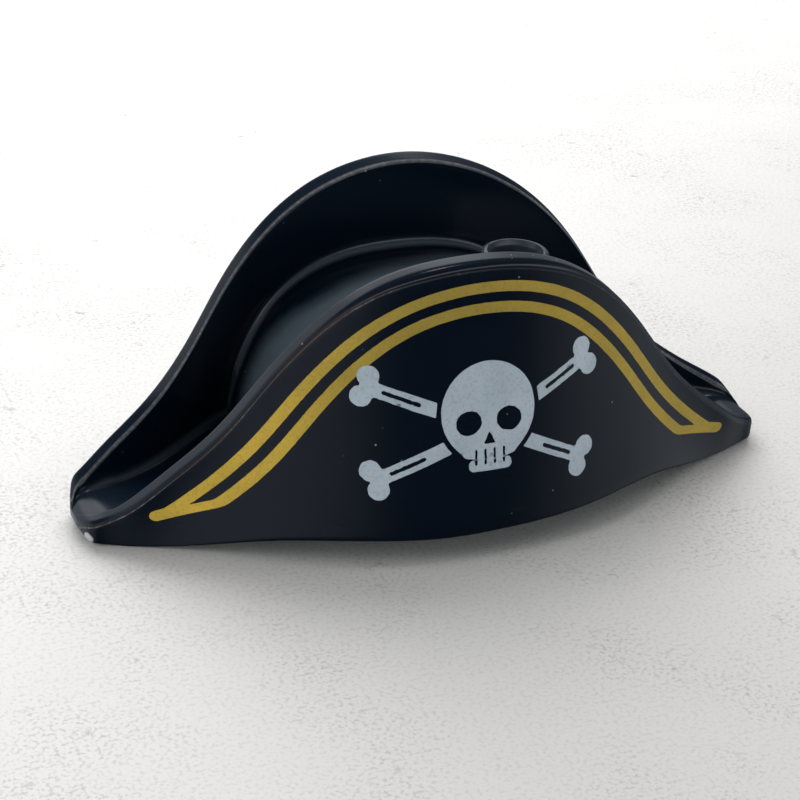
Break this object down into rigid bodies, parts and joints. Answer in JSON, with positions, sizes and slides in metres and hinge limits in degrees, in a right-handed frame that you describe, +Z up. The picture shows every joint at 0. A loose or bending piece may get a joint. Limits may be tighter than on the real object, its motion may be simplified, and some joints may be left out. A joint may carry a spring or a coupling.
{
  "type": "toy figure pirate hat",
  "caption": "Small two-cornered pirate hat with upturned flaps, a head seat below, a plume hole on its crown and a printed skull and trim.",
  "frame": {"origin": "on the resting surface under the middle of the hat", "axes": "+X along the hat from tip to tip, -Y out of the printed front, +Z up"},
  "size_m": [0.034, 0.0152, 0.0142],
  "materials": {
    "black_plastic": "glossy black moulded plastic with fine handling scratches",
    "gold_ink": "dull gold printed ink with pinholes",
    "white_ink": "thin cool white printed ink, slightly speckled"
  },
  "bodies": {
    "root": {"hat_moulding": "black_plastic", "gold_trim_print": "gold_ink", "skull_print": "white_ink", "jaw_print": "white_ink", "upper_left_bone_print": "white_ink", "upper_right_bone_print": "white_ink", "lower_left_bone_print": "white_ink", "lower_right_bone_print": "white_ink"}
  },
  "joints": []
}
